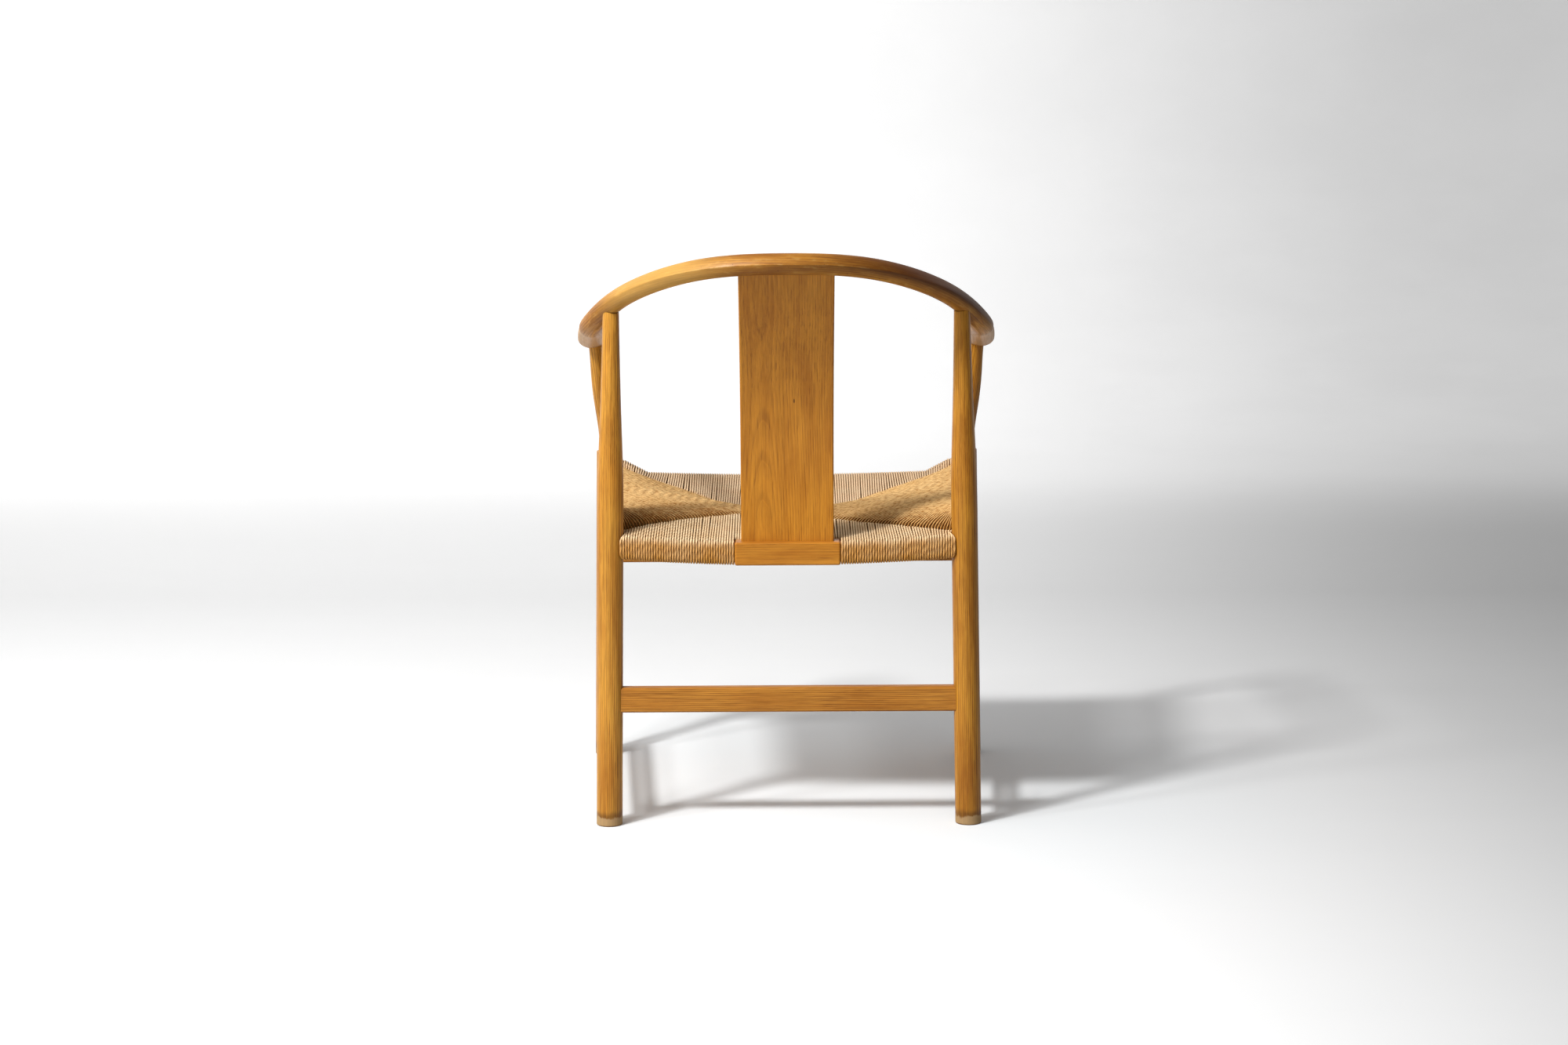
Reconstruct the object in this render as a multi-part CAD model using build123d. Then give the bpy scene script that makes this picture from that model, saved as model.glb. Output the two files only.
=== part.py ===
from build123d import *
import math
import os

# Horseshoe back armchair: four round ash legs, a bent rail that makes the back and both arms, a curved back
# splat and an envelope-woven paper-cord seat. Millimetres, +Z up. The origin lies on the floor under the centre
# of the overall box. The chair faces -Y, and left is the sitter's left, +X.

# ---- overall ----
overall_height = 800.0
overall_depth = 617.0

# ---- legs ----
leg_diameter = 36.0
leg_spacing = 446.0  # front leg axis to rear leg axis, at the floor
foot_round = 2.0
front_half_width_floor = 277.5
front_half_width_top = 269.5
front_leg_height = 468.0
front_leg_top_round = 1.5
rear_half_width_floor = 249.5
rear_taper_start = 450.0
rear_neck_height = 582.0
rear_neck_diameter = 28.6
rear_top_diameter = 21.4

# ---- horseshoe rail ----
back_radius = 282.0
crest_width = 31.0
crest_thickness = 28.5
rail_thickness = 27.5
arm_width = 41.0
arm_thickness = 27.0
arris_ease = 0.22  # how far the outer edge departs from an ellipse
leg_angle = 57.4  # where the rear legs meet the rail, from the middle of the crest
leg_drop = 62.0
shoulder_angle = 21.5
shoulder_drop = 6.7
quarter_angle = 42.0
quarter_drop = 32.2
bend_angle = 70.5
bend_drop = 91.5
arm_back = Vector(273.0, 20.0, 680.0)
arm_middle = Vector(279.0, -72.5, 669.0)
arm_front = Vector(284.5, -160.0, 655.0)
arm_tip = Vector(290.0, -252.0, 639.0)
tip_round = 22.0
rail_joint_length = 338.0  # along the rail, from the middle of the crest to the finger joint
finger_length = 30.0
finger_count = 3

# ---- arm posts ----
post_base_diameter = 29.0
post_top_diameter = 21.0
post_setback = 26.0  # arm tip to post, along the arm
post_inset = 4.5  # from the middle of the arm towards the seat
post_bow = 6.0

# ---- back splat ----
splat_width = 127.0
splat_thickness = 11.0
splat_edge_round = 2.0
splat_housing = 12.0
splat_lumbar_height = 470.0
splat_lumbar_forward = 4.0
splat_waist_height = 545.0
splat_waist_back = 4.0
splat_lean_height = 610.0
splat_lean_back = 25.0
splat_shoulder_height = 672.0
splat_shoulder_back = 58.0

# ---- seat rails ----
seat_rail_width = 24.0
seat_rail_height = 27.0
seat_rail_round = 5.0
rear_rail_level = 392.5
rear_rail_sag = 10.0
front_rail_level = 420.0
front_rail_sag = 7.0
side_rail_rear_level = 424.0
side_rail_front_level = 441.0
block_width = 145.0
block_depth = 33.0
block_height = 32.0
block_round = 3.0

# ---- stretchers ----
stretcher_height = 35.0
stretcher_width = 19.0
stretcher_round = 3.5
rear_stretcher_level = 177.5
side_stretcher_level = 85.0
front_stretcher_level = 315.0

# ---- seat ----
cord_diameter = 3.5
seat_centre_y = -55.0
seat_centre_level = 399.0
seat_centre_thickness = 22.0
stuffing_thickness = 4.0
stuffing_margin = 8.0
field_step = 1.0  # the flat of a field leaves its rail this far inside the wrap's top and bottom

# ---- joints between the pieces ----
tenon_length = 22.0
tenon_width = 14.0
tenon_height = 18.0
round_tenon_diameter = 12.0
post_tenon_diameter = 16.0
post_tenon_length = 14.0
fit = 0.2  # clearance all round a tenon
scribe_gap = 0.3  # clearance where a shoulder follows a curved face
wrap_gap = 0.3  # clearance between the cord and the wood it covers

# ---- derived places ----
UP = Vector(0, 0, 1)
front_y = -overall_depth / 2 + leg_diameter / 2
rear_y = front_y + leg_spacing
crest_level = overall_height - crest_thickness / 2
crest_y = overall_depth / 2 - crest_width / 2
SIDES = (("left", 1), ("right", -1))


def on_back(angle, drop):
    """A point of the rail's centre line on the round back, drop below the crest."""
    a = math.radians(angle)
    return Vector(back_radius * math.sin(a), crest_y - back_radius * (1 - math.cos(a)), crest_level - drop)


def mirrored(point, side):
    return Vector(side * point.X, point.Y, point.Z)


def along(start, end, level):
    """The point of the line from start to end at this height."""
    return start + (end - start) * ((level - start.Z) / (end.Z - start.Z))


rear_foot = Vector(rear_half_width_floor, rear_y, 0)
rear_top = on_back(leg_angle, leg_drop)
front_foot = Vector(front_half_width_floor, front_y, 0)
front_top = Vector(front_half_width_top, front_y, front_leg_height)


# ---- horseshoe rail ----
rail_knots = [
    on_back(0, 0),
    on_back(shoulder_angle, shoulder_drop),
    on_back(quarter_angle, quarter_drop),
    rear_top,
    on_back(bend_angle, bend_drop),
    arm_back,
    arm_middle,
    arm_front,
    arm_tip,
]
rail_line = Spline(*rail_knots, tangents=[(1, 0, 0), arm_tip - arm_front])
rail_length = rail_line.length


def rail_point(length):
    return rail_line.position_at(length, position_mode=PositionMode.LENGTH)


def rail_direction(length):
    return rail_line.tangent_at(length, position_mode=PositionMode.LENGTH).normalized()


def rail_frame(length, side=1):
    """Point, direction, outward and upward unit vectors of the rail at this length from the crest."""
    point = mirrored(rail_point(length), side)
    heading = rail_direction(length)
    if side < 0:
        heading = Vector(heading.X, -heading.Y, -heading.Z)
    outward = UP.cross(heading).normalized()
    return point, heading, outward, heading.cross(outward)


def ease(value):
    value = min(max(value, 0.0), 1.0)
    return value * value * (3 - 2 * value)


def rail_size(length):
    """Width and thickness of the rail at this length from the crest."""
    back_share = ease(length / rail_joint_length)
    arm_share = ease((length - rail_joint_length) / (rail_length - tip_round - rail_joint_length))
    thickness = crest_thickness + (rail_thickness - crest_thickness) * back_share
    width = crest_width + (arm_width - crest_width) * arm_share
    return width, thickness + (arm_thickness - rail_thickness) * arm_share


def rail_section(length, side, width, thickness):
    """Closed section: round inside, with a soft arris along the outside."""
    point, _, outward, upward = rail_frame(length, side)
    a, h, k = width / 2, thickness / 2, 0.5523

    def at(x, y):
        return point + outward * x + upward * y

    edges = []
    for s in (1, -1):
        arris = [at(a, 0), at(a * (1 - arris_ease), s * h * k), at(a * k * 0.8, s * h), at(0, s * h)]
        inside = [at(0, s * h), at(-a * k, s * h), at(-a, s * h * k), at(-a, 0)]
        pair = [Bezier(*arris), Bezier(*inside)]
        edges += pair if s > 0 else [Bezier(*inside[::-1]), Bezier(*arris[::-1])]
    return make_face(edges)


def tip_sections(side):
    """Shrinking sections that round the front end of an arm."""
    found = []
    for share in (0.55, 0.82, 0.95, 0.995):
        length = rail_length - tip_round * (1 - share)
        width, thickness = rail_size(length)
        found.append((length, width * math.sqrt(1 - share**2), thickness * (1 - share**4) ** 0.5))
    return [rail_section(length, side, width, thickness) for length, width, thickness in found]


def make_rail():
    station_count = 9
    lengths = [(rail_length - tip_round) * i / (station_count - 1) for i in range(station_count)]
    halves = {
        side: [rail_section(s, side, *rail_size(s)) for s in lengths] + tip_sections(side) for _, side in SIDES
    }
    return loft(halves[-1][::-1] + halves[1][1:])


def arm_zone(side):
    """Everything forward of the zigzag of fingers that joins an arm to the crest."""
    point, heading, outward, upward = rail_frame(rail_joint_length, side)
    forward = heading * side
    width = rail_size(rail_joint_length)[0]
    reach = rail_length - rail_joint_length + finger_length
    depth = reach / 2
    steps = 2 * finger_count
    zigzag = [(-width / 2 + width * i / steps, finger_length * (0.5 - (i + 1) % 2)) for i in range(steps + 1)]
    outline = [(-reach, zigzag[0][1]), *zigzag, (reach, zigzag[-1][1]), (reach, reach), (-reach, reach)]
    corners = [point + outward * n + forward * t - upward * depth for n, t in outline]
    return extrude(make_face(Polyline(*corners, close=True)), amount=2 * depth, dir=upward)


# ---- turned and straight members ----
def turned(foot, top, profile):
    """A member turned about the line from foot to top; profile is a face in the XZ plane."""
    return Plane(origin=foot, x_dir=(0, 1, 0), z_dir=top - foot) * revolve(profile, Axis.Z)


def trim_at_floor(solid):
    room = Pos(0, 0, overall_height) * Box(4 * overall_height, 4 * overall_height, 2 * overall_height)
    return solid & room


def rear_leg_body(side, grow=0.0):
    foot, top = mirrored(rear_foot, side), mirrored(rear_top, side)
    height = (top - foot).length
    r, neck_r, top_r = (d / 2 + grow for d in (leg_diameter, rear_neck_diameter, rear_top_diameter))
    below = -leg_diameter / 4
    neck_slope = (top_r - neck_r, height - rear_neck_height)
    taper = Spline(
        (r, rear_taper_start), (neck_r, rear_neck_height), (top_r, height), tangents=[(0, 1), neck_slope]
    )
    outline = Polyline((top_r, height), (0, height), (0, below), (r, below), (r, rear_taper_start))
    return turned(foot, top, Plane.XZ * make_face([*outline.edges(), taper.edge()]))


def front_leg_body(side, grow=0.0):
    foot, top = mirrored(front_foot, side), mirrored(front_top, side)
    radius = leg_diameter / 2 + grow
    below = -leg_diameter / 4
    height = (top - foot).length
    section = Polyline((0, below), (radius, below), (radius, height), (0, height), close=True)
    return turned(foot, top, Plane.XZ * make_face(section))


def bar_path(start, end, sag):
    if sag == 0:
        return Line(start, end)
    middle = (start + end) / 2 - UP * sag
    arc = ThreePointArc(start, middle, end)
    return Spline(start, middle, end, tangents=[arc % 0, arc % 1])


def bar(start, end, width, height, radius, sag=0.0, grow=0.0):
    """A straight or gently sagging bar with rounded edges, from axis to axis."""
    path = bar_path(start, end, sag)
    heading = path.tangent_at(0)
    section = RectangleRounded(width + 2 * grow, height + 2 * grow, radius + grow)
    plane = Plane(origin=start, x_dir=UP.cross(heading), z_dir=heading)
    return sweep(plane * section, path=path)


def tenon(axis_point, toward, grow=0.0):
    """A tenon or, grown, its mortise, at the leg whose axis passes through axis_point."""
    surface = leg_diameter / 2
    heading = (toward - axis_point).normalized()
    near, far = surface - tenon_length - grow, surface + tenon_length / 4
    plane = Plane(origin=axis_point, x_dir=heading, z_dir=heading.cross(UP).cross(heading))
    size = Box(far - near, tenon_width + 2 * grow, tenon_height + 2 * grow)
    return plane * Pos((near + far) / 2, 0, 0) * size


def peg(base, tip, diameter, grow=0.0):
    """A round tenon from base to tip or, grown, its hole."""
    heading = (tip - base).normalized()
    length = (tip - base).length + grow
    plane = Plane(origin=base + heading * (length / 2), z_dir=heading)
    return plane * Cylinder(diameter / 2 + grow, length)


# Each bar: its two axis points and which legs they lie on.
def rear_at(level, side):
    return mirrored(along(rear_foot, rear_top, level), side)


def front_at(level, side):
    return mirrored(along(front_foot, front_top, level), side)


seat_bars = {
    "rear_seat_rail": (rear_at(rear_rail_level, 1), rear_at(rear_rail_level, -1), rear_rail_sag),
    "front_seat_rail": (front_at(front_rail_level, 1), front_at(front_rail_level, -1), front_rail_sag),
}
stretcher_bars = {
    "rear_stretcher": (rear_at(rear_stretcher_level, 1), rear_at(rear_stretcher_level, -1)),
    "front_stretcher": (front_at(front_stretcher_level, 1), front_at(front_stretcher_level, -1)),
}
for name, side in SIDES:
    seat_bars[f"side_seat_rail_{name}"] = (
        rear_at(side_rail_rear_level, side),
        front_at(side_rail_front_level, side),
        0.0,
    )
    stretcher_bars[f"side_stretcher_{name}"] = (
        rear_at(side_stretcher_level, side),
        front_at(side_stretcher_level, side),
    )


def seat_bar(name, grow=0.0):
    start, end, sag = seat_bars[name]
    return bar(start, end, seat_rail_width, seat_rail_height, seat_rail_round, sag, grow)


def stretcher_bar(name):
    return bar(*stretcher_bars[name], stretcher_width, stretcher_height, stretcher_round)


bar_ends = {name: ends[:2] for name, ends in {**seat_bars, **stretcher_bars}.items()}


def mortises_near(foot, top):
    """The mortises of every bar that ends on the leg from foot to top."""
    found = []
    for start, end in bar_ends.values():
        for here, there in ((start, end), (end, start)):
            if (here - along(foot, top, here.Z)).length < leg_diameter / 2:
                found.append(tenon(here, there, fit))
    return found


left_axes = ((rear_foot, rear_top), (front_foot, front_top))
leg_axes = [(mirrored(foot, side), mirrored(top, side)) for foot, top in left_axes for _, side in SIDES]
grown_legs = [body(side, scribe_gap) for body in (rear_leg_body, front_leg_body) for _, side in SIDES]


def jointed(solid, start, end):
    """A bar with its shoulders scribed to the legs and a tenon at each end."""
    for leg in grown_legs:
        solid = solid - leg
    middle = (start + end) / 2
    solid = solid.solids().sort_by_distance(middle)[0]
    return solid + tenon(start, end) + tenon(end, start)


# ---- the block in the middle of the rear seat rail, and the splat ----
rail_middle = (rear_at(rear_rail_level, 1) + rear_at(rear_rail_level, -1)) / 2 - UP * rear_rail_sag
block_top = rail_middle.Z + block_height / 2


def rail_block(grow=0.0):
    block = Box(block_width, block_depth, block_height)
    block = fillet(block.edges(), block_round)
    if grow:
        block = Box(block_width + 2 * grow, block_depth + 2 * grow, block_height + 2 * grow)
    return Pos(*rail_middle) * block


def splat_line():
    """Centre line of the splat in the YZ plane, from inside the block to inside the crest."""
    y = rail_middle.Y
    return Spline(
        (y, block_top - splat_housing),
        (y - splat_lumbar_forward, splat_lumbar_height),
        (y + splat_waist_back, splat_waist_height),
        (y + splat_lean_back, splat_lean_height),
        (y + splat_shoulder_back, splat_shoulder_height),
        (crest_y, crest_level),
    )


def splat_body(grow=0.0):
    line = splat_line()
    count = 10
    sides = {1: [], -1: []}
    for i in range(count + 1):
        share = i / count
        point, heading = line.position_at(share), line.tangent_at(share)
        across = Vector(heading.Y, -heading.X, 0)
        for s, found in sides.items():
            found.append(point + across * s * (splat_thickness / 2 + grow))
    outline = [
        Spline(*sides[1]),
        Line(sides[1][-1], sides[-1][-1]),
        Spline(*sides[-1][::-1]),
        Line(sides[-1][0], sides[1][0]),
    ]
    width = splat_width + 2 * grow
    side_plane = Plane(origin=(-width / 2, 0, 0), x_dir=(0, 1, 0), z_dir=(1, 0, 0))
    body = side_plane * extrude(make_face(outline), amount=width)
    if grow:
        return body
    long_edges = body.edges().filter_by(GeomType.BSPLINE)
    return fillet(long_edges, splat_edge_round)


# ---- seat ----
seat_centre = Vector(0, seat_centre_y, seat_centre_level)
cord_reach = wrap_gap + cord_diameter


def polyhedron(lower, upper):
    """A closed solid between two polygons that stand one above the other."""
    faces = [make_face(Polyline(*lower, close=True)), make_face(Polyline(*upper, close=True))]
    for i in range(len(lower)):
        j = (i + 1) % len(lower)
        faces.append(make_face(Polyline(lower[i], lower[j], upper[j], upper[i], close=True)))
    return Solid(Shell([face.faces()[0] for face in faces]))


def wedge(start, end, rail_half, centre_half, centre=seat_centre):
    """The part of a field between the seat's centre and one straight stretch of rail."""
    lower = [start - UP * rail_half, end - UP * rail_half, centre - UP * centre_half]
    upper = [start + UP * rail_half, end + UP * rail_half, centre + UP * centre_half]
    return polyhedron(lower, upper)


def rail_stretches(name):
    """The rail's centre line as a few straight stretches that follow its sag."""
    start, end, sag = seat_bars[name]
    path = bar_path(start, end, sag)
    count = 4 if sag else 1
    points = [path.position_at(i / count) for i in range(count + 1)]
    return list(zip(points, points[1:]))


def sector(name):
    """The upright wedge of space between the seat's centre and the two legs of this rail."""
    corners = [seat_centre]
    for foot, top in leg_axes:
        crossing = along(foot, top, seat_centre_level)
        if min((crossing - p).length for p in bar_ends[name]) < leg_diameter * 1.5:
            corners.append(seat_centre + (crossing - seat_centre) * 1.3)
    lower = [Vector(c.X, c.Y, seat_centre_level - overall_height / 4) for c in corners]
    upper = [Vector(c.X, c.Y, seat_centre_level + overall_height / 4) for c in corners]
    return polyhedron(lower, upper)


def stuffing(name, grow=0.0):
    """The card between the upper and the lower layer of cords."""
    start, end, sag = seat_bars[name]
    middle = (start + end) / 2
    inward = (seat_centre - middle).normalized()
    rail_clear = seat_rail_width / 2 + wrap_gap + stuffing_margin
    corner_share = 0.84
    lowered = UP * sag
    centre = seat_centre - inward * stuffing_margin * 2
    base = [middle + (p - middle) * corner_share + inward * rail_clear - lowered for p in (start, end)]
    half = stuffing_thickness / 2 + grow
    if grow:
        mid = (base[0] + base[1] + centre) / 3
        base = [p + (p - mid).normalized() * 3 * grow for p in base]
        centre = centre + (centre - mid).normalized() * 3 * grow
    return wedge(*base, half, half, centre)


grown_rails = [seat_bar(name, wrap_gap) for name in seat_bars]


def field(name):
    """One quarter of the woven seat: cords round its rail and in to the centre, in two layers."""
    rail_half = seat_rail_height / 2 + cord_reach - field_step
    solid = seat_bar(name, cord_reach)
    for start, end in rail_stretches(name):
        solid = solid + wedge(start, end, rail_half, seat_centre_thickness / 2)
    solid = solid & sector(name)
    for neighbour in (*grown_legs, *grown_rails, stuffing(name, fit)):
        solid = solid - neighbour
    if name == "rear_seat_rail":
        solid = solid - rail_block(wrap_gap) - splat_body(wrap_gap)
    return solid.solids().sort_by(SortBy.VOLUME)[-1]


# ---- the pieces ----
pieces = {}
rail = make_rail()
lowered_rail = Pos(0, 0, -scribe_gap) * rail
arm_zones = {side: arm_zone(side) for _, side in SIDES}
pieces["crest_rail"] = rail - arm_zones[1] - arm_zones[-1] - splat_body(fit)
for name, side in SIDES:
    pieces[f"arm_rail_{name}"] = rail & arm_zones[side]

for name, side in SIDES:
    # rear leg, with a round tenon up into the crest rail
    foot, top = mirrored(rear_foot, side), mirrored(rear_top, side)
    leg = trim_at_floor(rear_leg_body(side)) - lowered_rail
    leg = leg.solids().sort_by(Axis.Z)[0]
    leg = fillet(leg.edges().group_by(Axis.Z)[0], foot_round)
    for hole in mortises_near(foot, top):
        leg = leg - hole
    shoulder = along(foot, top, top.Z - rail_thickness)
    pieces[f"rear_leg_{name}"] = leg + peg(shoulder, top, round_tenon_diameter)
    pieces["crest_rail"] -= peg(shoulder, top, round_tenon_diameter, fit)

    # front leg
    foot, top = mirrored(front_foot, side), mirrored(front_top, side)
    leg = trim_at_floor(front_leg_body(side))
    leg = fillet(leg.edges().group_by(Axis.Z)[0], foot_round)
    leg = fillet(leg.edges().group_by(Axis.Z)[-1], front_leg_top_round)
    for hole in mortises_near(foot, top):
        leg = leg - hole

    # arm post, with a round tenon down into the leg and another up into the arm
    post_top = mirrored(rail_point(rail_length - post_setback) - Vector(post_inset, 0, 0), side)
    leg_heading = (top - foot).normalized()
    middle = (top + post_top) / 2 + Vector(side * post_bow / 4, -post_bow, 0)
    post_line = Spline(top, middle, post_top, tangents=[leg_heading, (post_top - middle)])
    sections = []
    post_stations = 5
    for i in range(post_stations):
        share = i / (post_stations - 1)
        diameter = post_base_diameter + (post_top_diameter - post_base_diameter) * ease(share * 1.2)
        plane = Plane(origin=post_line @ share, x_dir=(1, 0, 0), z_dir=post_line % share)
        sections.append(plane * Circle(diameter / 2))
    post = (loft(sections) - lowered_rail).solids().sort_by(Axis.Z)[0]
    socket = top - leg_heading * post_tenon_length
    arm_shoulder = post_line.position_at(1 - arm_thickness / post_line.length)
    post = post + peg(socket, top + leg_heading, post_tenon_diameter)
    pieces[f"arm_post_{name}"] = post + peg(arm_shoulder, post_top, round_tenon_diameter)
    pieces[f"arm_rail_{name}"] -= peg(arm_shoulder, post_top, round_tenon_diameter, fit)
    pieces[f"front_leg_{name}"] = leg - peg(top + leg_heading, socket, post_tenon_diameter, fit)

pieces["back_splat"] = splat_body()

for name, (start, end) in bar_ends.items():
    body = seat_bar(name) if name in seat_bars else stretcher_bar(name)
    pieces[name] = jointed(body, start, end)
pieces["rear_seat_rail"] = pieces["rear_seat_rail"] + rail_block() - splat_body(fit)

for name in seat_bars:
    place = name.replace("_seat_rail", "")
    pieces[f"seat_cord_{place}"] = field(name)
    pieces[f"seat_stuffing_{place}"] = stuffing(name)

os.makedirs("parts", exist_ok=True)
for name, piece in pieces.items():
    solid = piece.solids()[0]
    export_step(solid, f"parts/{name}.step")
    size = solid.bounding_box().size
    print(f"{name:24s} {solid.volume / 1000:8.1f} cm3, {size.X:.1f} x {size.Y:.1f} x {size.Z:.1f} mm")
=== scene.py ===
# %% [markdown]
# # A horseshoe back armchair in ash and paper cord
# The chair is made in two ways at once. Its straight and turned wood comes from the CAD model, which is exact,
# and only gets a finish here. The bent rail and the woven seat are made again in Blender, because the grain of
# the one and the hundreds of cords of the other are what a person looks at.
# First the CAD frame is loaded. Every length below is in metres, the chair faces -Y and +Z is up.

# %% Load the frame
import math

import bpy
import numpy as np
from mathutils import Matrix, Vector


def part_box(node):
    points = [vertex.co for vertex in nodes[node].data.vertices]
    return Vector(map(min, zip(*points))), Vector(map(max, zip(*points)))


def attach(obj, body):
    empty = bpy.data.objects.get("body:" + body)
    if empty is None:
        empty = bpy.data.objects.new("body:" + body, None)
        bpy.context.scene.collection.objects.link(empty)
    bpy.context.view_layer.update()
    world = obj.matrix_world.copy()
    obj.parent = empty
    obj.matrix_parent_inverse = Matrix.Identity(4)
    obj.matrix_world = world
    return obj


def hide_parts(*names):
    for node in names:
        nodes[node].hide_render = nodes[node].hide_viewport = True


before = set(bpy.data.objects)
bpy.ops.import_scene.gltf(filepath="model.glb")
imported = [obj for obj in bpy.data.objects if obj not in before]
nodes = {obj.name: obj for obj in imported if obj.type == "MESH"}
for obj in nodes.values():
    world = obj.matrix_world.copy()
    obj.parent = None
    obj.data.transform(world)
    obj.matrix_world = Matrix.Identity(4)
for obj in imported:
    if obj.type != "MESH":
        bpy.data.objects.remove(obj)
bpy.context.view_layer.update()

# %% [markdown]
# ## The camera
# A chair is shown truthfully by a long lens from far away, since a short one swells whatever is near. A 70 mm
# lens 4.3 m from the chair's middle and a metre up looks slightly down on the seat. The camera is placed by one
# matrix: turned round to look along -Y, tipped down, then rolled by a third of a degree, as a hand-set tripod is.

# %% Place the camera
focal_mm, sensor_mm = 70.0, 36.0
stand, degrees_down, degrees_rolled = (0.0047, 4.2892, 1.0409), 8.5, -0.3
lens = bpy.data.cameras.new("camera")
lens.lens, lens.sensor_width = focal_mm, sensor_mm
camera = bpy.data.objects.new("camera", lens)
bpy.context.scene.collection.objects.link(camera)
turn = Matrix.Rotation(math.pi, 4, "Z")
tip = Matrix.Rotation(math.radians(90 - degrees_down), 4, "X")
roll = Matrix.Rotation(math.radians(degrees_rolled), 4, "Z")
camera.matrix_world = Matrix.Translation(stand) @ turn @ tip @ roll
bpy.context.scene.camera = camera
print("camera at", tuple(round(v, 2) for v in camera.location))

# %% [markdown]
# ## Building materials from nodes
# Every finish below is a small network of nodes. Writing each node in four lines would bury the idea, so one
# helper adds a node, sets its options, and fills each input with a number or with another node's output. A few
# more build on it: a product, a soft step from one number to another, noise, and the mixing of two colours.
# Colours are written as the 0 to 255 values a paint chart gives, and turned into the linear light that the
# renderer works in.

# %% Helpers for nodes
def rgb(red, green, blue):
    """A colour from its 0 to 255 values, as linear light with an alpha of 1."""
    channels = [c / 255 for c in (red, green, blue)]
    return tuple(c / 12.92 if c <= 0.04045 else ((c + 0.055) / 1.055) ** 2.4 for c in channels) + (1.0,)


def new_finish(name):
    """A new material and its node tree, which is still empty."""
    material = bpy.data.materials.new(name)
    material.use_nodes = True
    material.node_tree.nodes.clear()
    return material, material.node_tree


def add(tree, kind, inputs=None, out=0, **options):
    """One more node in the tree. Returns its output, so that it can feed the next."""
    made = tree.nodes.new("ShaderNode" + kind)
    for key, value in options.items():
        setattr(made, key, value)
    for key, value in (inputs or {}).items():
        if isinstance(value, bpy.types.NodeSocket):
            tree.links.new(value, made.inputs[key])
        else:
            made.inputs[key].default_value = value
    return made.outputs[out] if made.outputs else None


def maths(tree, operation, *values):
    """A sum, a root or any other operation, by the name that the Math node gives it."""
    return add(tree, "Math", dict(enumerate(values)), operation=operation)


def times(tree, first, *others):
    """The product of all the values."""
    for other in others:
        first = maths(tree, "MULTIPLY", first, other)
    return first


def own_place(tree):
    """Place in the object's own coordinates, which are the chair's: no piece is moved."""
    return add(tree, "TexCoord", out=3)


def split_up(tree, vector):
    """The x, y and z of a vector."""
    split = tree.nodes.new("ShaderNodeSeparateXYZ")
    tree.links.new(vector, split.inputs[0])
    return split.outputs


def fade(tree, value, start, end, low=0.0, high=1.0):
    """A number that goes smoothly from low to high while value goes from start to end."""
    settings = {"Value": value, "From Min": start, "From Max": end, "To Min": low, "To Max": high}
    return add(tree, "MapRange", settings, interpolation_type="SMOOTHSTEP")


def noise(tree, vector, stretch, detail=2.0, roughness=0.5):
    """Cloudy noise, with so many clouds to the metre along x, y and z."""
    scaled = add(tree, "VectorMath", {0: vector, 1: stretch}, operation="MULTIPLY")
    return add(tree, "TexNoise", {"Vector": scaled, "Scale": 1.0, "Detail": detail, "Roughness": roughness})


def blend(tree, share, first, second):
    """Mixes two colours; share 0 gives the first."""
    inputs = {0: share, 6: first, 7: second}
    return add(tree, "Mix", inputs, out=2, data_type="RGBA", clamp_factor=True)


def tint(tree, colour, share, amount, shade=rgb(98, 50, 10)):
    """Takes the colour by that amount towards the shade, a dark brown unless told, where share is 1."""
    return blend(tree, times(tree, share, amount), colour, shade)


print("helpers ready; honey is", tuple(round(c, 3) for c in rgb(205, 140, 60)))

# %% [markdown]
# ## What ash looks like
# Ash is ring-porous. Each spring the tree grows a band of open pores, and each summer dense plain wood, so
# growth rings show as fine brown lines made of short dashes, a few millimetres apart. Sawn through its side a
# board shows them as straight lines, and sawn near its face as nested arches. A picture of wood could give one
# of these; a solid pattern gives both, because it is worked out in space: the distance from the heart of the
# tree is divided into rings, and every surface simply cuts through them, end grain too.
# The heart line may lean a little against the piece, and that lean is what makes the arches.
# Five kinds of mark darken the wood, each by its own share: the end of the summer, the fibres, the spring band,
# the pores in that band, and stray pores.

# %% The ash finish
summer_mark, fibre_mark, spring_mark, pore_mark, stray_mark = 0.12, 0.36, 0.40, 0.60, 0.20


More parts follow.
